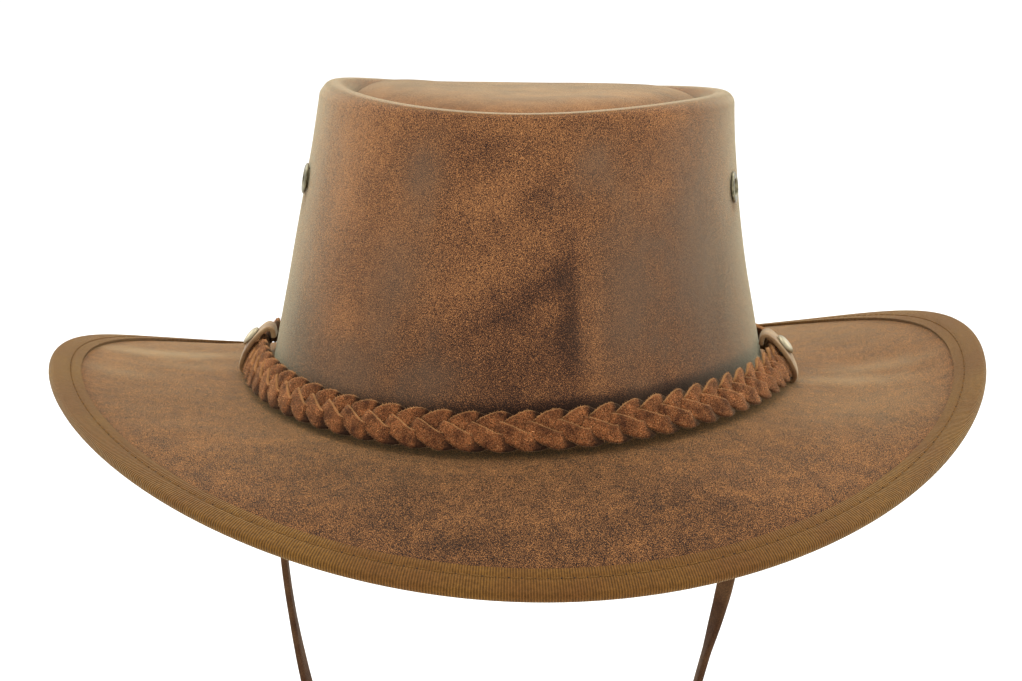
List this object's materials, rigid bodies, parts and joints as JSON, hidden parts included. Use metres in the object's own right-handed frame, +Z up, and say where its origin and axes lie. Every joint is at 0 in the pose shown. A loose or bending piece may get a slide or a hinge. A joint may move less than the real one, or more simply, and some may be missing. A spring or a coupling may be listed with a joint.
{
  "type": "bush hat",
  "caption": "Wide-brimmed leather bush hat with a bound, curled brim, a rolled flat crown, a braided band and a hanging chin lace.",
  "frame": {"origin": "centre of the head opening, level with the foot of the crown, where the hat sits on a head", "axes": "+Y towards the back of the hat, +Z up through the crown, +X to the wearer's left"},
  "size_m": [0.3155, 0.3427, 0.3514],
  "materials": {
    "crown_leather": "oiled nubuck, mottled brown with pale sheen",
    "brim_leather": "oiled nubuck, mottled brown with pale sheen",
    "ribbon": "ribbed ribbon, olive brown, one row of stitching",
    "braid": "reddish brown suede, fuzzy at the edges",
    "strap": "greyish brown, smooth",
    "nickel": "bright nickel cap",
    "dark_metal": "darkened brass",
    "lace": "dark brown suede, matt"
  },
  "bodies": {
    "root": {"crown_side": "crown_leather", "crown_tip": "crown_leather", "brim": "brim_leather", "brim_binding": "ribbon", "hat_band": "braid", "keeper_left": "strap", "keeper_right": "strap", "stud_left": "nickel", "stud_right": "nickel", "eyelet_left": "dark_metal", "eyelet_right": "dark_metal", "lace_tab_left": "strap", "lace_tab_right": "strap", "chin_lace": "lace"}
  },
  "joints": []
}
